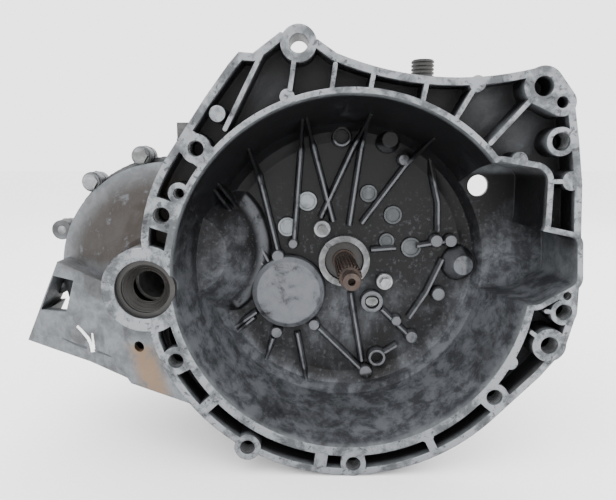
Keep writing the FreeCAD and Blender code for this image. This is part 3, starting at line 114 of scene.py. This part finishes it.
# --- material helpers -----------------------------------------------------------------------------
class Graph:
    """Short-hand for building one material's nodes."""

    def __init__(self, name):
        self.mat = bpy.data.materials.new(name)
        self.mat.use_nodes = True
        self.tree = self.mat.node_tree
        self.shader = self.tree.nodes["Principled BSDF"]
        self.coords = self.tree.nodes.new("ShaderNodeTexCoord").outputs["Object"]
        self.xyz = None

    def link(self, value, socket):
        """Feeds a socket from another socket, or sets it to a fixed value."""
        if isinstance(value, bpy.types.NodeSocket):
            self.tree.links.new(value, socket)
        else:
            socket.default_value = value

    def math(self, kind, a, b=0.0, clamp=False):
        node = self.tree.nodes.new("ShaderNodeMath")
        node.operation = kind
        node.use_clamp = clamp
        self.link(a, node.inputs[0])
        self.link(b, node.inputs[1])
        return node.outputs[0]

    def times(self, first, *others):
        """Product of two or more values."""
        for other in others:
            first = self.math("MULTIPLY", first, other)
        return first

    def plus(self, first, *others):
        """Sum of two or more values."""
        for other in others:
            first = self.math("ADD", first, other)
        return first

    def minus(self, a, b):
        return self.math("SUBTRACT", a, b)

    def ramp(self, value, low, high):
        """0 below low, 1 above high, smooth between; low may be above high."""
        node = self.tree.nodes.new("ShaderNodeMapRange")
        node.interpolation_type = "SMOOTHSTEP"
        self.link(value, node.inputs["Value"])
        ends = (low, high, 0, 1) if low < high else (high, low, 1, 0)
        for key, end in zip(("From Min", "From Max", "To Min", "To Max"), ends):
            node.inputs[key].default_value = end
        return node.outputs["Result"]

    def mix(self, factor, a, b):
        """From colour a at factor 0 to colour b at factor 1."""
        node = self.tree.nodes.new("ShaderNodeMix")
        node.data_type = "RGBA"
        self.link(factor, node.inputs[0])
        for color, index in ((a, 6), (b, 7)):
            self.link(color if isinstance(color, bpy.types.NodeSocket) else (*color, 1), node.inputs[index])
        return node.outputs[2]

    def blend(self, factor, a, b):
        """From number a at factor 0 to number b at factor 1."""
        node = self.tree.nodes.new("ShaderNodeMix")
        node.data_type = "FLOAT"
        for value, index in ((factor, 0), (a, 2), (b, 3)):
            self.link(value, node.inputs[index])
        return node.outputs[0]

    def noise(self, scale, detail, rough, stretch=(1, 1, 1), warp=0.0):
        """Cloudy pattern from 0 to 1; stretch is its scale along each axis."""
        mapping = self.tree.nodes.new("ShaderNodeMapping")
        self.link(self.coords, mapping.inputs["Vector"])
        mapping.inputs["Scale"].default_value = stretch
        node = self.tree.nodes.new("ShaderNodeTexNoise")
        self.link(mapping.outputs[0], node.inputs["Vector"])
        settings = {"Scale": scale, "Detail": detail, "Roughness": rough, "Distortion": warp}
        for key, value in settings.items():
            node.inputs[key].default_value = value
        return node.outputs["Fac"]

    def axes(self):
        """X, Y and Z of the point that is shaded."""
        if self.xyz is None:
            self.xyz = self.tree.nodes.new("ShaderNodeSeparateXYZ")
            self.link(self.coords, self.xyz.inputs[0])
        return self.xyz.outputs

    def facing(self):
        """Y of the surface normal: -1 where it looks to the front."""
        node = self.tree.nodes.new("ShaderNodeSeparateXYZ")
        self.link(self.coords.node.outputs["Normal"], node.inputs[0])
        return node.outputs[1]

    def distance(self, x, z):
        """Distance from a line along Y."""
        at = self.axes()
        dx = self.minus(at[0], x)
        dz = self.minus(at[2], z)
        return self.math("SQRT", self.plus(self.times(dx, dx), self.times(dz, dz)))

    def hollow(self, reach):
        """1 deep in a corner, 0 in the open."""
        node = self.tree.nodes.new("ShaderNodeAmbientOcclusion")
        node.samples = 6
        node.inputs["Distance"].default_value = reach
        return self.minus(1.0, node.outputs["AO"])

    def relief(self, height, strength, depth, round_edges):
        """Small bumps, on edges that look rounded by a radius of round_edges."""
        bevel = self.tree.nodes.new("ShaderNodeBevel")
        bevel.samples = 6
        bevel.inputs["Radius"].default_value = round_edges
        bump = self.tree.nodes.new("ShaderNodeBump")
        bump.inputs["Strength"].default_value = strength
        bump.inputs["Distance"].default_value = depth
        self.link(height, bump.inputs["Height"])
        self.link(bevel.outputs[0], bump.inputs["Normal"])
        self.link(bump.outputs[0], self.shader.inputs["Normal"])

    def done(self, color, rough, metallic):
        self.link(color, self.shader.inputs["Base Color"])
        self.link(rough, self.shader.inputs["Roughness"])
        self.link(metallic, self.shader.inputs["Metallic"])
        return self.mat


# Near-black of the bell's oily dirt and painted shade.
OIL_AND_SHADE_BLACK = (0.0042, 0.0042, 0.0048)
# Near-black of the painted shade in corners and pockets.
SHADE_BLACK = (0.008, 0.008, 0.009)
# Near-black of the painted shade in the nose's bore.
BORE_SHADE_BLACK = (0.010, 0.009, 0.008)
# Brown of the painted shadow above the nose.
SHADOW_BROWN = (0.022, 0.016, 0.012)
RUST = (0.17, 0.105, 0.055)


def bell_masks(g):
    """1 on the bell's inner surface, and 1 in the starter recess at its right."""
    x, y, z = g.axes()
    behind_face = g.ramp(y, 0.002, 0.008)
    wall_sum = g.plus(g.distance(0, 0), g.times(y, BELL_TAPER))
    inside = g.times(g.ramp(wall_sum, BELL_EDGE + 0.001, BELL_EDGE - 0.001), behind_face)
    inside = g.times(inside, g.ramp(y, BELL_END + 0.0005, BELL_END - 0.001))
    across = g.times(g.ramp(x, 0.103, 0.108), g.ramp(x, 0.205, 0.200))
    upright = g.times(g.ramp(z, 0.098, 0.090), g.ramp(z, -0.034, -0.028))
    recess = g.times(across, upright, behind_face, g.ramp(y, RECESS_END + 0.001, RECESS_END - 0.0005))
    return g.math("MAXIMUM", inside, recess), recess


def bare_casting(g, blotch, broad, streak):
    """Rough casting: pale and dull, blotched with old dirt."""
    bare = g.mix(g.ramp(blotch, 0.30, 0.68), (0.080, 0.085, 0.092), (0.150, 0.160, 0.170))
    dirt = g.times(g.ramp(broad, 0.48, 0.60), g.ramp(streak, 0.42, 0.58))
    return g.mix(g.times(dirt, 0.6), bare, (0.030, 0.027, 0.024))


def bell_oil_and_shade(g, recess, blotch, broad, streak):
    """How dark the bell is from oily dirt and painted shade: darker towards its top (partly oily dirt,
    partly painted shade) and on its floor, least on the dome, and lightened low in the recess by painted
    light.
    """
    y, z = g.axes()[1:]
    radius = g.distance(0, 0)
    floor = g.times(g.ramp(y, 0.074, 0.090), g.ramp(radius, 0.142, 0.126))
    dome = g.times(g.ramp(g.distance(OUTPUT.x, OUTPUT.z), 0.042, 0.034), g.ramp(blotch, 0.30, 0.55), floor)
    # Painted light: the recess is made lighter low down, where light from above falls.
    low = g.times(recess, g.ramp(radius, 0.150, 0.158), g.ramp(z, 0.030, -0.01))
    uneven = g.plus(g.times(g.minus(broad, 0.5), 1.5), g.times(g.minus(streak, 0.5), 1.3))
    # Darker towards the top: partly oily dirt, partly painted shade.
    oil_and_shade = g.plus(g.times(g.ramp(z, -0.07, 0.12), 0.95), g.times(floor, 0.55), uneven)
    oil_and_shade = g.minus(oil_and_shade, g.plus(g.times(dome, 0.80), g.times(low, 0.75)))
    return g.ramp(oil_and_shade, -0.05, 0.75)


def bell_color(g, oil_and_shade, blotch):
    """Wiped metal under the oily film and painted shade, with worn rib crests and the sandy grain of the
    casting.
    """
    y, z = g.axes()[1:]
    wiped = g.mix(g.ramp(blotch, 0.38, 0.62), (0.034, 0.036, 0.041), (0.105, 0.111, 0.122))
    # Oily dirt and painted shade, near-black.
    bell = g.mix(oil_and_shade, wiped, OIL_AND_SHADE_BLACK)
    raised = g.times(g.ramp(y, 0.0955, 0.0925), g.ramp(g.distance(0, 0), 0.127, 0.123))
    flat = g.blend(g.ramp(g.facing(), -0.35, -0.75), 0.5, 1.0)
    off_bulge = g.ramp(g.distance(BULGE.x, BULGE.z), 0.066, 0.074)
    crest = g.times(raised, flat, g.ramp(blotch, 0.28, 0.5), off_bulge)
    bell = g.mix(g.times(crest, 0.7), bell, (0.13, 0.135, 0.147))
    sand = g.times(g.ramp(g.noise(260, 3, 0.6), 0.55, 0.70), g.ramp(z, 0.10, 0.03))
    return g.mix(g.times(sand, 0.18), bell, (0.14, 0.147, 0.16))


def painted_shade_mask(g, inside):
    """Painted shade: black in every tight corner and all over the pockets behind the flange."""
    y = g.axes()[1]
    depth = g.times(g.ramp(y, 0.001, 0.010), g.ramp(y, POCKET_END, POCKET_END - 0.0006))
    pocket = g.times(depth, g.minus(1.0, inside), g.ramp(g.hollow(0.035), 0.30, 0.50))
    # Painted shade in tight corners, from occlusion.
    corner = g.ramp(g.hollow(0.012), 0.25, 0.75)
    return g.math("MAXIMUM", g.times(corner, 0.8), pocket)


def face_color(g, stain):
    """Machined face with old stains, fine cutter marks and dark specks."""
    cut = g.ramp(g.noise(240, 4, 0.6, (1, 1, 6)), 0.5, 0.75)
    speck = g.ramp(g.noise(150, 4, 0.7, warp=0.5), 0.56, 0.64)
    face = g.mix(g.times(stain, 0.9), (0.190, 0.200, 0.212), (0.058, 0.061, 0.065))
    face = g.mix(g.times(cut, 0.4), face, (0.14, 0.147, 0.155))
    return g.mix(g.times(speck, 0.75), face, (0.03, 0.03, 0.032))


def add_nose_shade(g, color, inside, blotch):
    """Painted shade in the bore of the output nose, and a brown painted shadow behind and above it."""
    y, z = g.axes()[1:]
    nose = g.distance(DIFF.x, DIFF.z)
    # Painted shade: the bore of the output nose is near-black.
    bore = g.times(g.ramp(nose, 0.0275, 0.0268), g.ramp(y, 0.0008, 0.0022))
    color = g.mix(g.times(bore, 0.9), color, BORE_SHADE_BLACK)
    # Painted shadow, brown, on the bell's outside above and behind the nose.
    near = g.times(g.ramp(nose, 0.120, 0.085), g.ramp(y, 0.014, 0.034), g.ramp(z, -0.012, 0.012))
    brown = g.times(near, g.ramp(blotch, 0.30, 0.46), g.minus(1.0, inside))
    return g.mix(g.times(brown, 0.85), color, SHADOW_BROWN)


def add_rust_run(g, color, blotch):
    """Rusty run-off that drifts down from the small hole in the foot plate."""
    x, y, z = g.axes()
    middle = g.plus(g.times(z, -0.30), -0.220)
    aside = g.math("ABSOLUTE", g.minus(x, middle))
    run = g.times(g.ramp(aside, 0.022, 0.006), g.ramp(z, -0.066, -0.076))
    run = g.times(run, g.ramp(blotch, 0.3, 0.55), g.ramp(y, 0.004, 0.01))
    return g.mix(g.times(run, 0.75), color, RUST)


def housing_material():
    """Oily sand-cast aluminium with its machined joint faces at the front, and the darker bell; painted
    shade in its corners, pockets and nose bore, and a painted shadow above the nose.
    """
    g = Graph("housing_cast")
    front = g.times(g.ramp(g.axes()[1], 0.0012, 0.0004), g.ramp(g.facing(), -0.6, -0.9))
    inside, recess = bell_masks(g)
    broad = g.noise(10, 5, 0.6, warp=0.4)
    blotch = g.noise(55, 8, 0.68, warp=0.3)
    streak = g.noise(24, 8, 0.7, (1, 0.5, 0.5), 0.5)
    oil_and_shade = bell_oil_and_shade(g, recess, blotch, broad, streak)
    painted_shade = painted_shade_mask(g, inside)
    cast = g.mix(inside, bare_casting(g, blotch, broad, streak), bell_color(g, oil_and_shade, blotch))
    # Painted shade: near-black in corners and in the pockets behind the flange.
    cast = g.mix(painted_shade, cast, SHADE_BLACK)
    stain = g.ramp(g.noise(34, 8, 0.72, warp=0.3), 0.44, 0.60)
    color = g.mix(front, cast, face_color(g, stain))
    color = add_nose_shade(g, color, inside, blotch)
    color = add_rust_run(g, color, blotch)
    dark = g.math("MAXIMUM", g.times(inside, oil_and_shade), painted_shade)
    rough = g.blend(front, g.blend(dark, 0.60, 0.42), g.blend(stain, 0.36, 0.5))
    metal = g.blend(front, g.blend(dark, 0.55, 0.1), 0.8)
    pits = g.plus(g.times(g.noise(700, 3, 0.6), 0.5), blotch)
    g.relief(g.times(pits, g.blend(front, 1.0, 0.12)), 0.4, 0.0010, 0.0018)
    g.shader.inputs["Specular IOR Level"].default_value = 0.18
    return g.done(color, rough, metal)


def cast_material(name, light, dark, soil_and_shade_color, round_edges=0.0015):
    """Plain sand-cast metal with painted shade in its corners and dirt in old patches."""
    g = Graph(name)
    blotch = g.noise(60, 8, 0.75)
    grain = g.noise(700, 3, 0.6)
    # Painted shade: darker in the corners, varied by the blotches.
    corner_shade = g.math("MULTIPLY", g.ramp(g.hollow(0.014), 0.2, 0.8), g.blend(blotch, 0.5, 1.2), clamp=True)
    color = g.mix(g.ramp(blotch, 0.36, 0.62), dark, light)
    color = g.mix(g.times(corner_shade, 0.8), color, soil_and_shade_color)
    old = g.times(g.ramp(g.noise(7, 8, 0.75), 0.46, 0.62), g.ramp(g.noise(90, 8, 0.75), 0.30, 0.60))
    color = g.mix(g.times(old, 0.6), color, soil_and_shade_color)
    g.relief(g.plus(g.times(grain, 0.5), blotch), 0.35, 0.0009, round_edges)
    return g.done(color, g.blend(corner_shade, 0.58, 0.5), g.blend(corner_shade, 0.6, 0.3))


def metal_material(name, light, dark, rough, metallic, tint=(0.03, 0.027, 0.025), cover=0.0):
    """Machined or plated metal, with a rusty or oily film and painted shade in its corners: tint is their
    colour and cover is the film's share.
    """
    g = Graph(name)
    blotch = g.noise(60, 5, 0.6, warp=0.5)
    fine = g.noise(400, 3, 0.6)
    color = g.mix(g.ramp(blotch, 0.3, 0.7), dark, light)
    film = g.times(g.ramp(g.noise(45, 6, 0.7, warp=0.9), 0.40, 0.62), cover)
    # Painted shade: tight corners get the film's colour.
    film = g.math("MAXIMUM", film, g.times(g.ramp(g.hollow(0.006), 0.3, 0.9), 0.7))
    color = g.mix(film, color, tint)
    g.relief(fine, 0.2, 0.0003, 0.0006)
    return g.done(color, g.blend(film, rough, 0.62), g.blend(film, metallic, 0.35))


def plug_material():
    """Pressed core plugs: the pair on the left is bright, the rest are dull and oily; painted shade darkens
    their crevices.
    """
    g = Graph("plug_steel")
    blotch = g.noise(70, 6, 0.65, warp=0.4)
    film = g.times(g.ramp(g.axes()[0], -0.02, 0.0), g.ramp(blotch, 0.25, 0.55))
    bright = g.mix(g.ramp(blotch, 0.35, 0.65), (0.085, 0.092, 0.098), (0.165, 0.178, 0.188))
    color = g.mix(g.times(film, 0.75), bright, (0.020, 0.022, 0.023))
    # Painted shade, near-black, in the crevices.
    color = g.mix(g.ramp(g.hollow(0.004), 0.3, 0.8), color, (0.010, 0.010, 0.010))
    g.relief(blotch, 0.3, 0.0005, 0.0006)
    return g.done(color, g.blend(film, 0.45, 0.58), 0.6)


def soft_material(name, light, dark, rough):
    """Rubber or plastic with dust on it."""
    g = Graph(name)
    dust = g.noise(50, 6, 0.65, warp=0.6)
    color = g.mix(g.ramp(dust, 0.42, 0.72), dark, light)
    g.relief(g.noise(500, 3, 0.6), 0.25, 0.0004, 0.0006)
    return g.done(color, rough, 0.0)


# Castings: name, light colour, dark colour, colour of the dirt and painted shade and, where it isn't the
# usual one, edge radius.
CAST = {
    "case": ("case_cast", (0.125, 0.133, 0.142), (0.068, 0.072, 0.077), (0.02, 0.0175, 0.015)),
    "cover": ("cover_cast", (0.112, 0.119, 0.126), (0.062, 0.066, 0.07), (0.019, 0.0165, 0.0145)),
    "iron": ("fork_cast", (0.20, 0.195, 0.19), (0.11, 0.107, 0.105), (0.02, 0.018, 0.016), 0.001),
}

# Worked metal: name, light colour, dark colour, roughness, metallic, and colour and share of its film; the
# film's colour also paints the shade in corners.
METAL = {
    "shaft": (
        "shaft_steel", (0.065, 0.05, 0.043), (0.022, 0.016, 0.014), 0.46, 0.7, (0.03, 0.015, 0.009), 0.8,
    ),
    "gear": ("gear_steel", (0.50, 0.49, 0.48), (0.33, 0.325, 0.32), 0.34, 0.95, (0.07, 0.05, 0.03), 0.3),
    "turned": (
        "turned_steel", (0.21, 0.214, 0.22), (0.085, 0.087, 0.09), 0.38, 0.9, (0.02, 0.018, 0.016), 0.45,
    ),
    "race": ("race_steel", (0.62, 0.62, 0.62), (0.45, 0.45, 0.45), 0.22, 1.0, (0.08, 0.06, 0.04), 0.2),
    "zinc": ("zinc_plate", (0.27, 0.277, 0.284), (0.11, 0.113, 0.117), 0.32, 0.9, (0.03, 0.027, 0.024), 0.6),
    "bronze": ("ring_bronze", (0.60, 0.44, 0.20), (0.42, 0.29, 0.12), 0.35, 0.95, (0.10, 0.06, 0.03), 0.3),
    "spring": ("seal_spring", (0.05, 0.046, 0.042), (0.014, 0.013, 0.012), 0.28, 0.9),
    "thread": ("thread_metal", (0.12, 0.125, 0.13), (0.04, 0.042, 0.044), 0.4, 0.8),
}

# Rubber, plastic, sealant and paint: name, light colour, dark colour and roughness.
SOFT = {
    "rubber": ("seal_rubber", (0.016, 0.013, 0.011), (0.005, 0.0045, 0.004), 0.5),
    "plastic": ("black_plastic", (0.075, 0.072, 0.07), (0.022, 0.022, 0.023), 0.5),
    "blue": ("blue_plastic", (0.10, 0.12, 0.15), (0.03, 0.04, 0.06), 0.48),
    "sealant": ("sealant_grey", (0.13, 0.13, 0.135), (0.045, 0.045, 0.047), 0.6),
    "paint": ("white_paint", (0.85, 0.86, 0.87), (0.62, 0.63, 0.64), 0.55),
    "ink": ("ink_line", (0.05, 0.055, 0.065), (0.015, 0.017, 0.022), 0.6),
}

# Which CAD nodes wear which material; every other node is gear steel.
WORN_BY = {
    "housing": ["clutch_housing"],
    "case": ["gear_case"],
    "cover": ["end_cover", "selector_tower"],
    "iron": [
        "shift_fork_12", "shift_fork_34", "shift_fork_5", "reverse_fork", "diff_case", "selector_finger",
        "interlock_sleeve", "shift_lever",
    ],
    "shaft": ["input_shaft"],
    "turned": [
        "seal_carrier", "output_shaft", "fork_rods_fixed", "fork_rod_5", "reverse_idler_shaft", "cross_pin",
        "selector_shaft",
    ],
    "race": [
        "input_bearings_outer", "output_bearings_outer", "diff_bearings_outer", "input_bearings_inner",
        "output_bearings_inner", "diff_bearings_inner",
    ],
    "zinc": ["retainer_bolts", "oil_union", "case_bolts", "m8_bolts", "oil_plugs", "ring_gear_bolts"],
    "plug": ["floor_plugs"],
    "bronze": ["baulk_rings"],
    "rubber": ["shaft_seals", "selector_cap"],
    "plastic": ["breather", "speed_sensor"],
    "blue": ["reverse_switch"],
}


def make_materials():
    mats = {"housing": housing_material(), "plug": plug_material()}
    for make, table in ((cast_material, CAST), (metal_material, METAL), (soft_material, SOFT)):
        for key, look in table.items():
            mats[key] = make(*look)
    return mats


def paint_nodes(mats):
    chosen = {node: key for key, wearers in WORN_BY.items() for node in wearers}
    for name, obj in nodes.items():
        obj.data.materials.clear()
        obj.data.materials.append(mats[chosen.get(name, "gear")])


# --- pieces the CAD doesn't carry -----------------------------------------------------------------
def attach(name, data, mat):
    """Makes an object of a mesh or curve, and lets it move with the housing."""
    data.materials.append(mat)
    obj = bpy.data.objects.new(name, data)
    bpy.context.collection.objects.link(obj)
    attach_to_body(obj, "transaxle")


def surface(node):
    """Search tree of a CAD node's faces."""
    data = nodes[node].data
    points = [v.co.copy() for v in data.vertices]
    return BVHTree.FromPolygons(points, [tuple(face.vertices) for face in data.polygons])


def wire(name, paths, radius, mat, cyclic=False, uneven=0.0):
    """Round wire or bead along one or more paths."""
    data = bpy.data.curves.new(name, "CURVE")
    data.dimensions = "3D"
    data.bevel_depth = radius
    data.bevel_resolution = 2
    for path in paths:
        line = data.splines.new("POLY")
        line.points.add(len(path) - 1)
        line.use_cyclic_u = cyclic
        for point, place in zip(line.points, path):
            point.co = (*place, 1)
            point.radius = 1 + uneven * random.uniform(-1, 1)
    attach(name, data, mat)


# Threads of the tapped holes, in mm: pitch, length, how far inside the hole's wall the wire runs, and the
# depth at which the chamfer ends.
THREAD_PITCH = 1.75
THREAD_LENGTH = 16
THREAD_INSET = 0.2
THREAD_START = 2.5
THREAD_STEPS = 20  # points per turn

# Tapped holes of the engine face: X, Z and radius in mm.
TAPPED = [
    (-135.8, 115.4, 7.0), (-151.9, 76.6, 4.8), (-168.1, 57.2, 7.5), (-159.9, -77.0, 7.0),
    (-95.4, -162.2, 7.0), (4.6, -179.0, 7.0), (135.1, -112.4, 7.5), (182.8, -62.2, 8.0),
    (193.9, -31.0, 7.5), (196.0, -15.7, 3.8), (181.0, 121.4, 8.0),
]

# Lips of the output seal: radius and Y in mm.
SEAL_LIPS = [(21.4, 8.6), (18.9, 11.4), (16.4, 14.4), (14.8, 16.8)]


def thread_path(x, z, hole_radius):
    """Helix that lines a tapped hole, from just behind its chamfer."""
    radius = hole_radius - THREAD_INSET
    points = []
    for i in range(int(THREAD_LENGTH / THREAD_PITCH * THREAD_STEPS)):
        turns = i / THREAD_STEPS
        angle = 2 * math.pi * turns
        y = THREAD_START + THREAD_PITCH * turns
        points.append(Vector((x + radius * math.cos(angle), y, z + radius * math.sin(angle))) * MM)
    return points


def ring_path(center, radius, y, count=48):
    """Circle of count points about an axis along Y; radius and y in mm."""
    angles = [2 * math.pi * i / count for i in range(count)]
    return [center + Vector((radius * math.cos(t), y, radius * math.sin(t))) * MM for t in angles]


# Beads of sealant: the casting that each lies on, and Y of the bead, just behind the joint.
SEALANT = {"case_sealant": ("gear_case", 0.1184), "cover_sealant": ("end_cover", 0.3184)}
SEALANT_STEP = 0.003


def cut_loop(node, level):
    """Longest outline of a CAD node in the plane y = level."""
    mesh = bmesh.new()
    mesh.from_mesh(nodes[node].data)
    bmesh.ops.remove_doubles(mesh, verts=mesh.verts, dist=1e-6)
    everything = mesh.verts[:] + mesh.edges[:] + mesh.faces[:]
    point, normal = (0, level, 0), (0, 1, 0)
    cut = bmesh.ops.bisect_plane(mesh, geom=everything, plane_co=point, plane_no=normal)["geom_cut"]
    edges = dict.fromkeys(part for part in cut if isinstance(part, bmesh.types.BMEdge))
    loops = []
    while edges:
        edge = edges.popitem()[0]
        start, tip = edge.verts
        loop = [start.co.copy(), tip.co.copy()]
        while tip is not start:
            onward = [e for e in tip.link_edges if e in edges]
            if not onward:
                break
            del edges[onward[0]]
            tip = onward[0].other_vert(tip)
            loop.append(tip.co.copy())
        loops.append(loop)
    mesh.free()
    return max(loops, key=lambda loop: sum((a - b).length for a, b in zip(loop, loop[1:])))


def even_steps(loop, step):
    """Points at equal steps along a closed outline."""
    points, left = [], 0.0
    for a, b in zip(loop, loop[1:]):
        length = (b - a).length
        while left < length:
            points.append(a.lerp(b, left / length))
            left += step
        left -= length
    return points


# Strokes by hand on the foot plate: name, material, first and last width, and X, Z of the route, in mm.
STROKES = [
    (
        "paint_long", "paint", (3.2, 4.6),
        [(-271, -59.6), (-265.5, -64.2), (-258.9, -70.7), (-255.8, -76.5), (-254, -84.6)],
    ),
    ("paint_short", "paint", (2.2, 3.4), [(-253.6, -64.9), (-253.0, -74.1), (-252.8, -81.5)]),
    ("ink_left", "ink", (1.6, 3.0), [(-290.5, -74.6), (-275, -79), (-261, -81.5)]),
    ("ink_right", "ink", (2.6, 1.2), [(-249, -83.4), (-240, -85), (-233, -86.6)]),
]
STROKE_STEPS = 12  # rows of points per leg of a route
# Points across a stroke: place, from edge to edge, and height above the plate.
STROKE_PROFILE = [(-1, 0.00004), (-0.5, 0.00022), (0, 0.00022), (0.5, 0.00022), (1, 0.00004)]


def brush_stroke(name, route, widths, mat):
    """Thin stroke of paint, laid on the front of the housing."""
    plate = surface("clutch_housing")
    legs = len(route) - 1
    mesh = bmesh.new()
    rows = []
    for i in range(STROKE_STEPS * legs + 1):
        leg = min(i // STROKE_STEPS, legs - 1)
        start, end = Vector(route[leg]), Vector(route[leg + 1])
        at = start.lerp(end, i / STROKE_STEPS - leg)
        ahead = (end - start).normalized()
        share = i / (STROKE_STEPS * legs)
        half = (widths[0] + (widths[1] - widths[0]) * share) / 2 * random.uniform(0.82, 1.1)
        row = []
        for offset, lift in STROKE_PROFILE:
            spot = at + Vector((-ahead.y, ahead.x)) * half * offset
            hit = plate.ray_cast(Vector((spot.x, -50, spot.y)) * MM, Vector((0, 1, 0)))[0]
            row.append(mesh.verts.new(hit - Vector((0, lift, 0))))
        rows.append(row)
    for a, b in zip(rows, rows[1:]):
        for j in range(len(STROKE_PROFILE) - 1):
            mesh.faces.new((a[j], b[j], b[j + 1], a[j + 1]))
    data = bpy.data.meshes.new(name)
    mesh.to_mesh(data)
    mesh.free()
    for face in data.polygons:
        face.use_smooth = True
    attach(name, data, mat)


FORWARD, LEFT, UP, DOWN = (0, -1, 0), (-1, 0, 0), (0, 0, 1), (0, 0, -1)
# Marks of the mould's ejector pins: the casting, and start and direction of the ray that finds the spot.
MOULD_MARKS = [
    ("gear_case", (-0.20, 0.60, 0.03), FORWARD),
    ("gear_case", (-0.235, 0.60, -0.045), FORWARD),
    ("end_cover", (-0.050, 0.60, 0.008), FORWARD),
    ("end_cover", (0.005, 0.60, 0.030), FORWARD),
    ("end_cover", (-0.095, 0.60, -0.030), FORWARD),
    ("gear_case", (-0.10, 0.19, 0.5), DOWN),
    ("gear_case", (0.04, 0.27, 0.5), DOWN),
    ("gear_case", (0.6, 0.20, 0.02), LEFT),
    ("gear_case", (0.6, 0.275, -0.01), LEFT),
    ("gear_case", (-0.04, 0.20, -0.5), UP),
    ("clutch_housing", (0.6, 0.085, 0.03), LEFT),
    ("clutch_housing", (0.02, 0.08, -0.5), UP),
]
# The mark's disc and the smaller one in its middle: sides, radius at the foot and at the top, and height.
MARK_DISCS = [(32, 0.0052, 0.0046, 0.0012), (24, 0.0020, 0.0016, 0.0018)]


def moulding_marks(mat):
    """Slightly raised round marks on the outside of the castings."""
    for i, (node, start, aim) in enumerate(MOULD_MARKS):
        hit, normal = surface(node).ray_cast(Vector(start), Vector(aim))[:2]
        mesh = bmesh.new()
        for sides, foot, top, height in MARK_DISCS:
            size = {"segments": sides, "radius1": foot, "radius2": top, "depth": height}
            bmesh.ops.create_cone(mesh, cap_ends=True, **size)
        mesh.transform(Matrix.Translation(hit) @ normal.to_track_quat("Z", "Y").to_matrix().to_4x4())
        name = "mould_mark_%d" % i
        data = bpy.data.meshes.new(name)
        mesh.to_mesh(data)
        mesh.free()
        attach(name, data, mat)


def add_pieces(mats):
    wire("hole_threads", [thread_path(*hole) for hole in TAPPED], 0.00055, mats["thread"])
    lips = [ring_path(DIFF, radius, y) for radius, y in SEAL_LIPS]
    wire("seal_lips", lips, 0.00035, mats["spring"], cyclic=True)
    for name, (node, level) in SEALANT.items():
        bead = even_steps(cut_loop(node, level), SEALANT_STEP)
        wire(name, [bead], 0.0007, mats["sealant"], cyclic=True, uneven=0.5)
    for name, material, widths, route in STROKES:
        brush_stroke(name, route, widths, mats[material])
    moulding_marks(mats["case"])


add_camera()
add_world()
add_floor(cad_box[0][2] - FLOOR_GAP)
area_light("key", (-0.7, -1.2, 1.6), (0, 0, 0), size=1.6, watts=32)
area_light("fill", (1.3, -1.3, 0.7), (0, 0, 0), size=1.6, watts=10)
area_light("back", (0.3, 1.6, 1.5), (0, 0.2, 0), size=1.8, watts=26)
mats = make_materials()
paint_nodes(mats)
add_pieces(mats)
